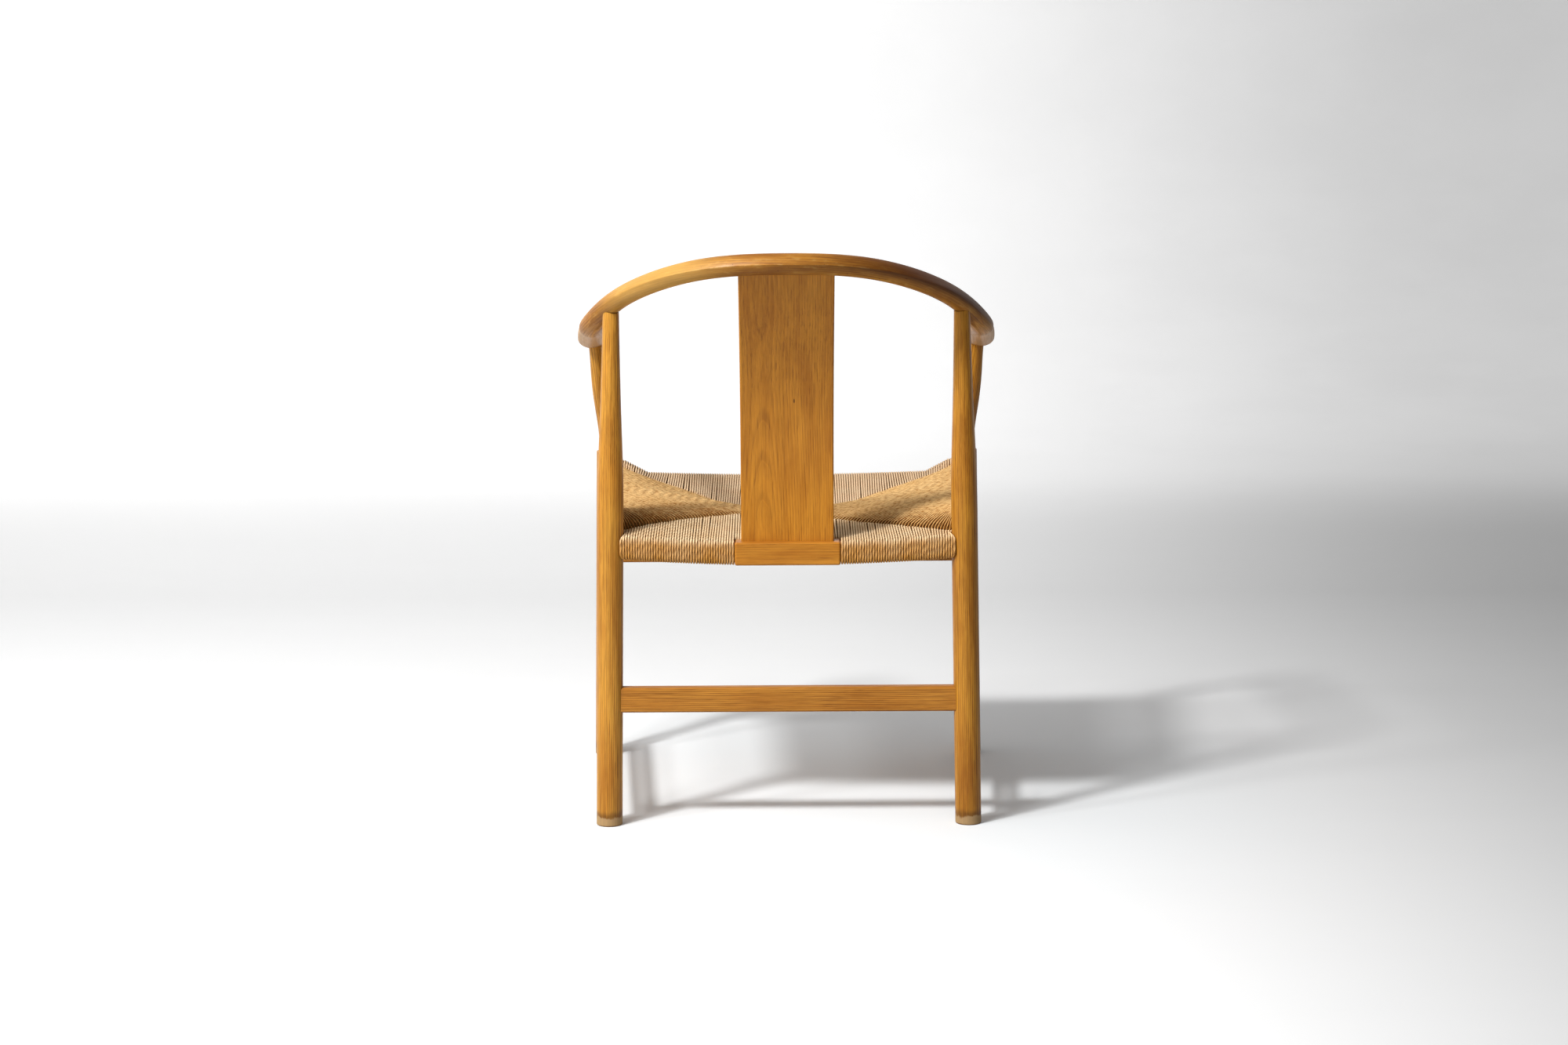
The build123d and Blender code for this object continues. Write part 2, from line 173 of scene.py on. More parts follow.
def ash(name, grain_space, heart, pale, deep, lean=0.0, rings=0.0027, marks_and_painted_light=None, bold=1.0):
    """Lacquered ash between a pale and a deep colour. grain_space gives x and y across the grain and z along it, in
    metres. heart is the x and y of the tree's middle, lean its drift in y for each metre of z, rings the growth of one
    year, and bold the strength of the marks. A finishing function, if given, adds more marks: signs of use on the
    feet, a knot on the splat, and on the rail signs of use with painted light and shade."""
    material, tree = new_finish(name)
    place = grain_space(tree)
    wander = noise(tree, place, (11, 11, 2.4), detail=3.0)
    wander = times(tree, maths(tree, "SUBTRACT", wander, 0.5), 0.007)
    x, y, z = split_up(tree, place)
    across = maths(tree, "ADD", maths(tree, "SUBTRACT", x, heart[0]), wander)
    depth = maths(tree, "SUBTRACT", maths(tree, "SUBTRACT", y, heart[1]), times(tree, z, lean))
    squares = maths(tree, "ADD", maths(tree, "POWER", across, 2.0), maths(tree, "POWER", depth, 2.0))
    ring = maths(tree, "DIVIDE", maths(tree, "SQRT", squares), rings)
    uneven = noise(tree, place, (60, 60, 1.5), detail=1.0)
    ring = maths(tree, "ADD", ring, times(tree, uneven, 0.9))
    year = maths(tree, "FRACT", ring)
    spring = times(tree, fade(tree, year, 0.0, 0.08), fade(tree, year, 0.16, 0.42, 1.0, 0.0))
    summer = fade(tree, year, 0.55, 1.0)
    pores = fade(tree, noise(tree, place, (1000, 1000, 26)), 0.52, 0.64)
    fibres = noise(tree, place, (420, 420, 8), detail=4.0, roughness=0.7)
    patches = noise(tree, place, (45, 45, 7), detail=5.0, roughness=0.65)
    colour = blend(tree, fade(tree, patches, 0.3, 0.72), pale, deep)
    colour = tint(tree, colour, summer, summer_mark)
    colour = tint(tree, colour, fade(tree, fibres, 0.42, 0.64), fibre_mark * bold)
    colour = tint(tree, colour, spring, spring_mark * bold)
    colour = tint(tree, colour, times(tree, spring, pores), pore_mark * bold)
    colour = tint(tree, colour, pores, stray_mark)
    height = maths(tree, "ADD", times(tree, spring, 0.5), times(tree, pores, 0.6))
    rough = fade(tree, fibres, 0.35, 0.7, 0.34, 0.46)
    if marks_and_painted_light:
        colour, rough = marks_and_painted_light(tree, colour, rough, (x, y, z))
    normal = add(tree, "Bump", {"Height": height, "Strength": 0.22, "Distance": 0.0003}, invert=True)
    inputs = {"Base Color": colour, "Roughness": rough, "Normal": normal}
    inputs |= {"Specular IOR Level": 0.18, "Coat Weight": 0.05, "Coat Roughness": 0.2}
    add(tree, "OutputMaterial", {"Surface": add(tree, "BsdfPrincipled", inputs)})
    return material


def in_place(order, slope=0.0):
    """Grain space of a straight member: the object's own coordinates, with the grain's axis put last.
    slope is how far the member drifts along the first axis for each metre of its length."""

    def made(tree):
        own = split_up(tree, own_place(tree))
        first, second, along = (own["XYZ".index(axis)] for axis in order)
        first = maths(tree, "SUBTRACT", first, times(tree, along, slope))
        return add(tree, "CombineXYZ", {0: first, 1: second, 2: along})

    return made


print("ash is ready to be cut")

# %% [markdown]
# ## Legs, posts and stretchers
# These are turned and planed members from the CAD model and keep its shape. Only the direction of the grain
# changes: up the legs and posts, and along each stretcher. The feet tell a chair's age: years of mopped floors
# leave the lowest centimetre grey and rubbed, under a dark line where water has crept up. No piece is moved from
# the chair's origin, so its own z is the height above the floor, and the worn band is a simple test of height.

# %% Worn feet
def worn_foot(tree, colour, rough, place):
    """A rubbed band at the floor, with a dark lower edge and a dark water line above it."""
    z = place[2]
    ragged = noise(tree, own_place(tree), (90, 90, 40), detail=3.0)
    level = maths(tree, "SUBTRACT", z, times(tree, ragged, 0.013))
    rubbed = fade(tree, level, 0.0045, 0.0075, 1.0, 0.0)
    water = times(tree, fade(tree, level, 0.004, 0.007), fade(tree, level, 0.008, 0.018, 1.0, 0.0))
    edge = fade(tree, maths(tree, "ADD", z, times(tree, ragged, 0.002)), 0.0015, 0.0035, 1.0, 0.0)
    colour = tint(tree, colour, rubbed, 0.75, rgb(174, 148, 110))
    colour = tint(tree, colour, edge, 0.7)
    colour = tint(tree, colour, water, 0.62, rgb(84, 50, 20))
    return colour, maths(tree, "MAXIMUM", rough, times(tree, rubbed, 0.75))


def leaning(foot, top):
    """Grain space of a leaning member: x and y are measured from its own axis."""

    def made(tree):
        own = split_up(tree, own_place(tree))
        place = {2: own[2]}
        for k in (0, 1):
            slope = (top[k] - foot[k]) / (top[2] - foot[2])
            axis = maths(tree, "MULTIPLY_ADD", own[2], slope, foot[k] - slope * foot[2])
            place[k] = maths(tree, "SUBTRACT", own[k], axis)
        return add(tree, "CombineXYZ", place)

    return made


# Foot and top of each member on the left, and where the heart of its tree lay, measured from its axis.
members = {
    "rear_leg": ((0.2495, 0.1555, 0.0), (0.2376, 0.1629, 0.7238), (-0.140, 0.030)),
    "front_leg": ((0.2775, -0.2905, 0.0), (0.2695, -0.2905, 0.468), (-0.110, 0.060)),
    "arm_post": ((0.2695, -0.2905, 0.468), (0.2840, -0.2260, 0.643), (0.100, 0.030)),
}
# Pale and deep colours of each side. The right side's are darker, which is painted shade, as the light comes from the
# left.
shades = {"left": (rgb(222, 160, 62), rgb(190, 124, 40)), "right": (rgb(206, 144, 48), rgb(166, 104, 28))}
cross_bar = ash("ash_cross_bar", in_place("YZX"), (0.20, 0.06), rgb(206, 140, 54), rgb(180, 114, 36), bold=1.1)
side_slope = -0.063  # the side bars stand farther apart at the front


def finish_node(name, material):
    """Gives a CAD node its material, in every slot that its mesh has."""
    mesh = nodes[name].data
    if not mesh.materials:
        mesh.materials.append(material)
    for i in range(len(mesh.materials)):
        mesh.materials[i] = material


for side, sign in (("left", 1), ("right", -1)):
    for part, (foot, top, heart) in members.items():
        grain = leaning((sign * foot[0], *foot[1:]), (sign * top[0], *top[1:]))
        wood = ash(f"ash_{part}_{side}", grain, heart, *shades[side], lean=0.008, marks_and_painted_light=worn_foot, bold=0.95)
        finish_node(f"{part}_{side}", wood)
    side_bar = ash(f"ash_side_bar_{side}", in_place("XZY", sign * side_slope), (sign * 0.24, 0.03), *shades[side])
    for part in ("side_stretcher", "side_seat_rail"):
        finish_node(f"{part}_{side}", side_bar)
for name in ("rear_stretcher", "front_stretcher", "front_seat_rail"):
    finish_node(name, cross_bar)
print("legs, posts and bars finished")

# %% [markdown]
# ## The back splat
# The splat is one board with a long S-curve, and its figure is the best in the chair: arches on one side and
# straight lines on the other. The grain has to follow the curve, or the rings would be cut as if the board had
# been carved from a block. So the depth is measured from the board's own middle line: a float curve node holds
# the line, height in and depth out, and its value is taken from y. The tree leaned against the saw in the lower
# half only, so the last three depths are a little short, which makes the lines above run straight.
# A pin knot is a twig that the tree grew over: a small dark ellipse.

# %% Splat and seat block
splat_levels = [0.3965, 0.470, 0.545, 0.610, 0.672, 0.7858]
splat_depths = [0.1597, 0.1557, 0.1637, 0.1847 - 0.0006, 0.2177 - 0.0043, 0.2930 - 0.0111]


def board_space(tree):
    """Grain space of the splat: x, depth behind the board's middle line, and height."""
    x, y, z = split_up(tree, own_place(tree))
    line = tree.nodes.new("ShaderNodeFloatCurve")
    points = line.mapping.curves[0].points
    while len(points) < len(splat_levels):
        points.new(0.5, 0.5)
    for point, level, depth in zip(points, splat_levels, splat_depths):
        point.location = (level, depth)
    line.mapping.update()
    tree.links.new(z, line.inputs["Value"])
    depth = maths(tree, "SUBTRACT", y, line.outputs[0])
    return add(tree, "CombineXYZ", {0: x, 1: depth, 2: z})


def pin_knot(tree, colour, rough, place):
    """A dark ellipse 2 mm wide and 6 mm high, right of the splat's middle line."""
    x, _, z = place
    aside = maths(tree, "DIVIDE", maths(tree, "ADD", x, 0.0098), 0.0011)
    above = maths(tree, "DIVIDE", maths(tree, "SUBTRACT", z, 0.5935), 0.0030)
    far = maths(tree, "ADD", maths(tree, "POWER", aside, 2.0), maths(tree, "POWER", above, 2.0))
    return blend(tree, fade(tree, far, 0.4, 1.6, 0.75, 0.0), colour, rgb(70, 38, 16)), rough


board_colours, block_colours = (rgb(204, 136, 42), rgb(176, 110, 28)), (rgb(204, 136, 44), rgb(178, 110, 30))
board_cut = {"lean": 0.060, "rings": 0.0031, "marks_and_painted_light": pin_knot, "bold": 0.48}
board = ash("ash_splat", board_space, (0.034, 0.004), *board_colours, **board_cut)
block = ash("ash_seat_block", in_place("YZX"), (0.19, 0.37), *block_colours, bold=0.5)
finish_node("back_splat", board)
finish_node("rear_seat_rail", block)
splat_low, splat_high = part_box("back_splat")
print("splat", tuple(round(v, 3) for v in splat_high - splat_low))

# %% [markdown]
# ## The line of the horseshoe rail
# The rail is one smooth curve: round behind the sitter's back, falling as it turns, then running forward and
# down as the arms. Only nine points are needed on one half. A cubic line through them, smooth in slope and in
# curvature, is found by solving for the slopes at the points, and the other half is its mirror image.
# Lengths along it are measured from the middle of the crest, positive on the left.

# %% Solve the rail's line
back_radius, crest_y, crest_z = 0.282, 0.293, 0.78575


def on_back(degrees, drop):
    """A point of the round back, so many degrees from its middle and so far below it."""
    a = math.radians(degrees)
    return (back_radius * math.sin(a), crest_y - back_radius * (1 - math.cos(a)), crest_z - drop)


knots = [on_back(0, 0), on_back(21.5, 0.0067), on_back(42, 0.0322), on_back(57.4, 0.062), on_back(70.5, 0.0915)]
knots += [(0.273, 0.020, 0.680), (0.279, -0.0725, 0.669), (0.2845, -0.160, 0.655), (0.290, -0.252, 0.639)]


def smooth_line(through, first, last, samples=160):
    """Points along the cubic line through these points, which starts and ends in these directions."""
    through = np.array(through, float)
    gaps = np.linalg.norm(np.diff(through, axis=0), axis=1)
    count = len(through)
    system, wanted = np.eye(count), np.zeros((count, 3))
    wanted[0], wanted[-1] = (np.array(v) / np.linalg.norm(v) for v in (first, last))
    for i in range(1, count - 1):
        a, b = gaps[i - 1], gaps[i]
        system[i, i - 1 : i + 2] = 1 / a, 2 / a + 2 / b, 1 / b
        wanted[i] = 3 * ((through[i] - through[i - 1]) / a**2 + (through[i + 1] - through[i]) / b**2)
    slopes = np.linalg.solve(system, wanted)
    t = np.linspace(0, 1, samples, endpoint=False)[:, None]
    pieces = []
    for p, q, u, v, gap in zip(through, through[1:], slopes, slopes[1:], gaps):
        ends = (1 + 2 * t) * (1 - t) ** 2 * p + t * t * (3 - 2 * t) * q
        pieces.append(ends + gap * t * (1 - t) * ((1 - t) * u - t * v))
    return np.vstack([*pieces, through[-1:]])


half_line = smooth_line(knots, (1, 0, 0), np.array(knots[-1]) - np.array(knots[-2]))
half_lengths = np.concatenate([[0], np.cumsum(np.linalg.norm(np.diff(half_line, axis=0), axis=1))])
rail_length = half_lengths[-1]
print("rail", round(2 * rail_length, 3), "m from tip to tip")

# %% [markdown]
# ## The rail's section
# The rail is round on the inside, where the sitter leans, with a soft arris along the outside of the crest that
# fades into the arms, and it gets flatter and wider towards the arm tips. Two Bezier curves draw the upper half
# of the section at unit size. It is then scaled at each place, so the edges of the mesh run along the rail like
# lines of grain.

# %% Section and frame
def bezier(a, b, c, d, t):
    """The Bezier curve with these four control values, at share t of its way."""
    s = 1 - t
    return s**3 * a + 3 * s * s * t * b + 3 * s * t * t * c + t**3 * d


def half_section(around):
    """x and y of the upper half at unit size, from the outer arris (1, 0) to the inside (-1, 0)."""
    t = np.linspace(0, 1, 400)
    outer = [bezier(*values, t) for values in ((1, 0.78, 0.442, 0), (0, 0.5523, 1, 1))]
    inner = [bezier(*values, t) for values in ((0, -0.5523, -1, -1), (1, 1, 0.5523, 0))]
    x, y = (np.concatenate(pair) for pair in zip(outer, inner))
    across = np.cos(around)
    return across, np.interp(-across, -x, y)


def ease(share):
    """A share from 0 to 1 that starts and ends gently."""
    return share * share * (3 - 2 * share)


fingers = 3
corners = np.arccos(np.linspace(1, -1, 2 * fingers + 1))
around = np.unique(np.round(np.concatenate([np.linspace(0, np.pi, 25), corners]), 6))
upper_x, upper_y = half_section(around)
upper_y[[0, -1]] = 0
section_x = np.concatenate([upper_x, upper_x[-2:0:-1]])
section_y = np.concatenate([upper_y, -upper_y[-2:0:-1]])
joint_at, tip_length = 0.338, 0.022
full = rail_length - tip_length
crest_width, wider_arm = 0.031, 0.010
crest_thickness, thinner_joint, thinner_arm = 0.0285, 0.001, 0.0005
round_y = np.sign(section_y) * np.sqrt(np.clip(1 - section_x**2, 0, 1))


def rail_place(lengths):
    """Point, outward and upward directions, half width and half thickness at signed lengths along the rail."""
    side, far = np.where(lengths < 0, -1.0, 1.0), np.abs(lengths)
    point = np.stack([np.interp(far, half_lengths, half_line[:, k]) for k in range(3)], -1)
    step = 0.0008
    ahead, behind = np.minimum(far + step, rail_length), np.maximum(far - step, 0)
    heading = np.stack([np.interp(ahead, half_lengths, half_line[:, k]) for k in range(3)], -1)
    heading -= np.stack([np.interp(behind, half_lengths, half_line[:, k]) for k in range(3)], -1)
    point[..., 0] *= side
    heading[..., 1:] *= side[..., None]
    heading /= np.linalg.norm(heading, axis=-1, keepdims=True)
    outward = np.cross((0, 0, 1), heading)
    outward /= np.linalg.norm(outward, axis=-1, keepdims=True)
    back, arm = ease(np.clip(far / joint_at, 0, 1)), ease(np.clip((far - joint_at) / (full - joint_at), 0, 1))
    width = crest_width + wider_arm * arm
    thickness = crest_thickness - thinner_joint * back - thinner_arm * arm
    share = np.clip((far - full) / tip_length, 0, 1)
    width, thickness = width * np.sqrt(1 - share**2), thickness * np.sqrt(1 - share**4)
    return point, outward, np.cross(heading, outward), width / 2, thickness / 2


print(len(section_x), "points around the section")

# %% [markdown]
# ## Crest and arms, finger-jointed
# So long a curve can't be bent from one stick. The crest is one piece and each arm another, and they meet in
# finger joints, a zigzag seen from above. In the mesh the last ring of points is pushed forward or back, by up
# to half a finger, according to how far across the rail each point lies, so both sides of the joint get the same
# zigzag, a hair apart. Each point also stores its place across and along the rail in an attribute called grain, and
# the ash finish reads that instead of its place in space. The grain then bends with the wood.

# %% Build the rail's three pieces
finger, hair = 0.030, 0.00012
arris_to, arris_fade, sharp_degrees = 0.18, 0.14, 50
turns = np.arange(2 * fingers + 1)
zigzag = np.interp(section_x, np.linspace(-1, 1, len(turns)), (-1.0) ** (turns + 1) * finger / 2)


def make_piece(name, points, faces, material, replaced):
    """A smooth mesh that takes the place of one CAD node."""
    mesh = bpy.data.meshes.new(name)
    mesh.from_pydata(points.reshape(-1, 3).tolist(), [], faces)
    mesh.polygons.foreach_set("use_smooth", [True] * len(mesh.polygons))
    mesh.materials.append(material)
    made = bpy.data.objects.new(name, mesh)
    bpy.context.scene.collection.objects.link(made)
    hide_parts(replaced)
    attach(made, "root")
    return made


def rail_piece(name, lengths, material, replaced):
    """A stretch of rail; lengths has one row for each ring of points."""
    point, outward, upward, half_w, half_t = rail_place(lengths)
    soft = ease(np.clip((np.abs(lengths) - arris_to) / arris_fade, 0, 1))
    off_out = half_w * section_x
    off_up = half_t * (section_y + (round_y - section_y) * soft)
    points = point + outward * off_out[..., None] + upward * off_up[..., None]
    rows, ring = lengths.shape
    faces = []
    for i in range(rows - 1):
        for j in range(ring):
            k = (j + 1) % ring
            faces.append((i * ring + j, i * ring + k, (i + 1) * ring + k, (i + 1) * ring + j))
    half = ring // 2
    for start, flip in ((0, False), ((rows - 1) * ring, True)):
        for j in range(half):
            a, b, c, d = start + j, start + j + 1, start + (ring - j - 1) % ring, start + (ring - j) % ring
            face = [v for n, v in enumerate((a, b, c, d)) if v not in (a, b, c, d)[:n]]
            faces.append(face if flip else face[::-1])
    made = make_piece(name, points, faces, material, replaced)
    grain = made.data.attributes.new("grain", "FLOAT_VECTOR", "POINT")
    along = np.broadcast_to(lengths, off_out.shape)
    grain.data.foreach_set("vector", np.stack([off_out, off_up, along], -1).astype(np.float32).ravel())
    made.data.set_sharp_from_angle(angle=math.radians(sharp_degrees))
    return made


def bent_space(tree):
    """Grain space of the rail: out, up and along, as its mesh stores them."""
    return add(tree, "Attribute", out=1, attribute_name="grain")


def polished(tree, colour, rough, place):
    """Pale rubbed spots on the arris of the crest, cloudy marks of use and small pits. Painted light makes the left
    part of the crest paler, and painted shade darkens the top of its right half and a little of the right arm. The
    rail is made duller, and the arms paler towards their ends, partly worn and partly a painted reflection of the
    white floor."""
    x, y, z = place
    where = add(tree, "CombineXYZ", {0: x, 1: y, 2: z})
    off_arris, off_middle = maths(tree, "ABSOLUTE", y), maths(tree, "ABSOLUTE", z)
    near_arris = times(tree, fade(tree, x, 0.0142, 0.0154), fade(tree, off_arris, 0.0006, 0.0018, 1.0, 0.0))
    spots = fade(tree, noise(tree, where, (160, 160, 75), detail=4.0, roughness=0.6), 0.47, 0.60)
    rubbed = times(tree, near_arris, fade(tree, off_middle, 0.09, 0.19, 1.0, 0.0), spots)
    colour = tint(tree, colour, rubbed, 0.3, rgb(226, 184, 112))
    clouds = noise(tree, where, (120, 120, 38), detail=4.0, roughness=0.6)
    colour = tint(tree, colour, fade(tree, clouds, 0.46, 0.62), 0.20)
    colour = blend(tree, fade(tree, clouds, 0.44, 0.32, 0.0, 0.20), colour, rgb(220, 178, 100))
    pits = fade(tree, noise(tree, where, (330, 330, 260), detail=1.0), 0.735, 0.775)
    colour = tint(tree, colour, pits, 0.75)
    # Painted light: the left part of the crest is paler.
    painted_left_light = times(tree, fade(tree, z, 0.05, 0.15), fade(tree, z, 0.22, 0.34, 1.0, 0.0))
    colour = tint(tree, colour, painted_left_light, 0.42, rgb(232, 186, 100))
    # Painted shade: the top of the crest's right half is darker, and a little of the right arm.
    painted_right_top_shade = times(tree, fade(tree, z, 0.03, -0.20), fade(tree, y, -0.011, 0.0))
    painted_right_top_shade = times(tree, painted_right_top_shade, fade(tree, z, -0.44, -0.32, 0.3, 1.0))
    colour = tint(tree, colour, painted_right_top_shade, 0.90, rgb(76, 36, 6))
    # The arms grow paler towards their ends: partly worn, partly a painted reflection of the white floor.
    colour = blend(tree, fade(tree, off_middle, 0.36, 0.48, 0.0, 0.55), colour, rgb(216, 176, 128))
    return colour, maths(tree, "MAXIMUM", maths(tree, "ADD", rough, 0.10), times(tree, rubbed, 0.6))


crest_colours, arm_colours = (rgb(190, 130, 44), rgb(146, 90, 26)), (rgb(206, 148, 62), rgb(170, 110, 40))
crest_cut = {"lean": 0.03, "rings": 0.0030, "marks_and_painted_light": polished, "bold": 0.75}
arm_cut = {"lean": -0.03, "rings": 0.0030, "marks_and_painted_light": polished, "bold": 0.6}
rail_finish = ash("ash_crest_rail", bent_space, (0.004, -0.075), *crest_colours, **crest_cut)
arm_finish = ash("ash_arm_rail", bent_space, (-0.05, -0.060), *arm_colours, **arm_cut)
crest_rows, arm_rows, tip_rows = 181, 110, 14
crest_ends, starts = joint_at + zigzag - hair, joint_at + zigzag + hair
crest_lengths = np.linspace(-1, 1, crest_rows)[:, None] * crest_ends
crest = rail_piece("crest_rail_bent", crest_lengths, rail_finish, "crest_rail")
arm = starts + (full - starts) * np.linspace(0, 1, arm_rows)[:, None]
tip = full + tip_length * np.sin(np.linspace(0, math.pi / 2, tip_rows)[1:, None]) * np.ones(len(section_x))
arm_lengths = np.vstack([arm, np.minimum(tip, rail_length - 1e-5)])  # a hair short, so the tip isn't a point
rail_piece("arm_rail_left_bent", arm_lengths, arm_finish, "arm_rail_left")
rail_piece("arm_rail_right_bent", -arm_lengths[::-1], arm_finish, "arm_rail_right")
print("crest and two arms,", len(crest.data.vertices), "points in the crest")

# %% [markdown]
# ## How the seat is woven
# A Danish seat of this kind is an envelope of paper cord. The weaver takes the cord over a rail, in towards the
# middle, up through the seat, over the next rail, and so round the chair, turn after turn. What that leaves is
# four triangles, each of cords side by side that wrap their own rail, and four seams where the cord turns the
# corner. Each cord here is a real tube: a path in an upright plane from the seam, over and round the rail, and
# back below. The path is the shape a tight string takes: straight where it is free, bent only where it touches
# the rail, found as the tangents from the seam to the rail's rounded outline.

# %% Where the rails and seams are
def leg_axis(foot, top, level):
    """The point of a leg's axis at a height."""
    foot, top = np.array(foot, float), np.array(top, float)
    return foot + (top - foot) * ((level - foot[2]) / (top[2] - foot[2]))


rear_foot, rear_top = (0.2495, 0.1555, 0.0), knots[3]
front_foot, front_top = (0.2775, -0.2905, 0.0), (0.2695, -0.2905, 0.468)
seat_centre = np.array((0.0, -0.055))
corner_rear, corner_front = leg_axis(rear_foot, rear_top, 0.410)[:2], leg_axis(front_foot, front_top, 0.440)[:2]
leg_radius, cord_radius, pitch, slack = 0.018, 0.00166, 0.00357, 0.0003

# Height of the seat's surface along each seam, from the centre (0) to the leg (1).
seam_shares = (0.0, 0.14, 0.26, 0.4, 0.55, 0.65, 0.8, 0.92, 1.0)
seam_heights = {
    ("rear", 1): (0.4095, 0.4125, 0.4145, 0.4155, 0.4168, 0.4170, 0.4160, 0.4130, 0.4115),
    ("rear", -1): (0.4095, 0.4075, 0.4063, 0.4062, 0.4075, 0.4087, 0.4092, 0.4100, 0.4105),
    ("front", 1): (0.4095, 0.4070, 0.4075, 0.4148, 0.4240, 0.4295, 0.4362, 0.4350, 0.4345),
    ("front", -1): (0.4095, 0.4070, 0.4075, 0.4148, 0.4240, 0.4295, 0.4362, 0.4350, 0.4345),
}


wrap_points, upper_points, lower_points = 15, 8, 5


def rounded_outline(centre, half_width, half_height, radius):
    """The cord's centre line round a rail, clockwise seen with the seat's middle on the left."""
    found = []
    for cx, cz, start in ((-1, 1, 180), (1, 1, 90), (1, -1, 0), (-1, -1, -90)):
        angles = np.radians(np.linspace(start, start - 90, 9))
        corner = centre + np.array((cx * (half_width - radius), cz * (half_height - radius)))
        found.append(corner + radius * np.stack([np.cos(angles), np.sin(angles)], -1))
    return np.vstack(found)


def evenly(path, count):
    """So many points, equally far apart along the path."""
    lengths = np.concatenate([[0], np.cumsum(np.linalg.norm(np.diff(path, axis=0), axis=1))])
    at = np.linspace(0, lengths[-1], count)
    return np.stack([np.interp(at, lengths, path[:, k]) for k in range(path.shape[1])], -1)


def string_path(outline, seam_top, seam_low, swell):
    """A tight string from the seam's upper end, round the outline, to its lower end. swell is how far the upper
    part bulges. At the seam the cord dives down between its neighbours, and below it climbs back."""
    rise = np.arctan2(outline[:, 1] - seam_top[1], outline[:, 0] - seam_top[0])
    fall = np.arctan2(outline[:, 1] - seam_low[1], outline[:, 0] - seam_low[0])
    first, last = int(np.argmax(rise)), int(np.argmin(fall))
    wrap = evenly(outline[first : last + 1], wrap_points)
    t = np.linspace(0, 1, upper_points + 1)[:-1, None] ** 1.5
    bulge = 4 * np.sqrt(t) * (1 - np.sqrt(t)) * swell
    upper = seam_top + (wrap[0] - seam_top) * t + bulge * (0, 1)
    lower = wrap[-1] + (seam_low - wrap[-1]) * np.linspace(0, 1, lower_points + 1)[1:, None]
    bend = cord_radius * 1.1
    dive = seam_top + np.array([(-bend, -0.006), (-bend, -0.0028), (-bend * 0.75, -0.0008)])
    climb = seam_low + np.array([(-bend * 0.75, 0.0010), (-bend, 0.0040)])
    return np.vstack([dive, upper, wrap, lower, climb])


print("seat corners at", corner_rear.round(3), corner_front.round(3))

# %% [markdown]
# ## A field of cords
# One function lays a whole field. It is told where its rail runs and which way is inward, and for each cord it
# finds the seam, asks for the string's path and turns it into a tube of eight sides. Hands lay cords, so each is
# a fraction of a millimetre out of line, and neighbours drift together, which opens the dark gaps of a used
# seat. The cords next to a leg are pressed along the rail by it, so no cord passes through wood.
# Each tube has a UV map that counts plies around it and turns of twist along it, for the finish to use.

# %% Lay one field
rng = np.random.default_rng(7)


def drift(count, reach, amount):
    """Small random shifts that neighbours share."""
    kernel = np.hanning(reach + 2)
    shifts = np.convolve(rng.normal(size=count + len(kernel)), kernel / np.sqrt((kernel**2).sum()), "same")
    return amount * shifts[:count]


def seam_point(start, inward):
    """How far in a cord that starts on the rail meets its seam, the share of the seam there, and which seam."""
    rear, side = start[1] > seat_centre[1], 1 if start[0] >= 0 else -1
    spoke = (corner_rear if rear else corner_front) * (side, 1) - seat_centre
    run, share = np.linalg.solve(np.array([inward, -spoke]).T, seat_centre - start)
    return run, min(max(share, 0.0), 1.0), ("rear" if rear else "front", side)


def tube(paths, sideways, turns_per_metre=78.0, sides=8):
    """Points, faces and UVs of one tube along each path. paths is cords x stations x 3."""
    cords, stations, _ = paths.shape
    heading = np.gradient(paths, axis=1)
    heading /= np.linalg.norm(heading, axis=-1, keepdims=True)
    side = np.broadcast_to(sideways, heading.shape)
    normal = np.cross(heading, side)
    normal /= np.linalg.norm(normal, axis=-1, keepdims=True)
    angles = np.arange(sides) * 2 * np.pi / sides
    ring = np.cos(angles)[:, None] * normal[:, :, None] + np.sin(angles)[:, None] * side[:, :, None]
    points = paths[:, :, None] + cord_radius * ring
    c, i, j = np.meshgrid(np.arange(cords), np.arange(stations - 1), np.arange(sides), indexing="ij")
    this_ring, k = (c * stations + i) * sides, (j + 1) % sides
    next_ring = this_ring + sides
    faces = np.stack([this_ring + j, this_ring + k, next_ring + k, next_ring + j], -1).reshape(-1, 4)
    run = np.concatenate([np.zeros((cords, 1)), np.cumsum(np.linalg.norm(np.diff(paths, axis=1), axis=-1), axis=1)], 1)
    run = run * turns_per_metre + rng.uniform(0, 9, (cords, 1))
    u = np.stack([j, j + 1, j + 1, j], -1) / sides
    v = np.stack([run[c, i], run[c, i], run[c, i + 1], run[c, i + 1]], -1)
    return points.reshape(-1, 3), faces, np.stack([u, v], -1).reshape(-1, 2)


print("ready to weave")
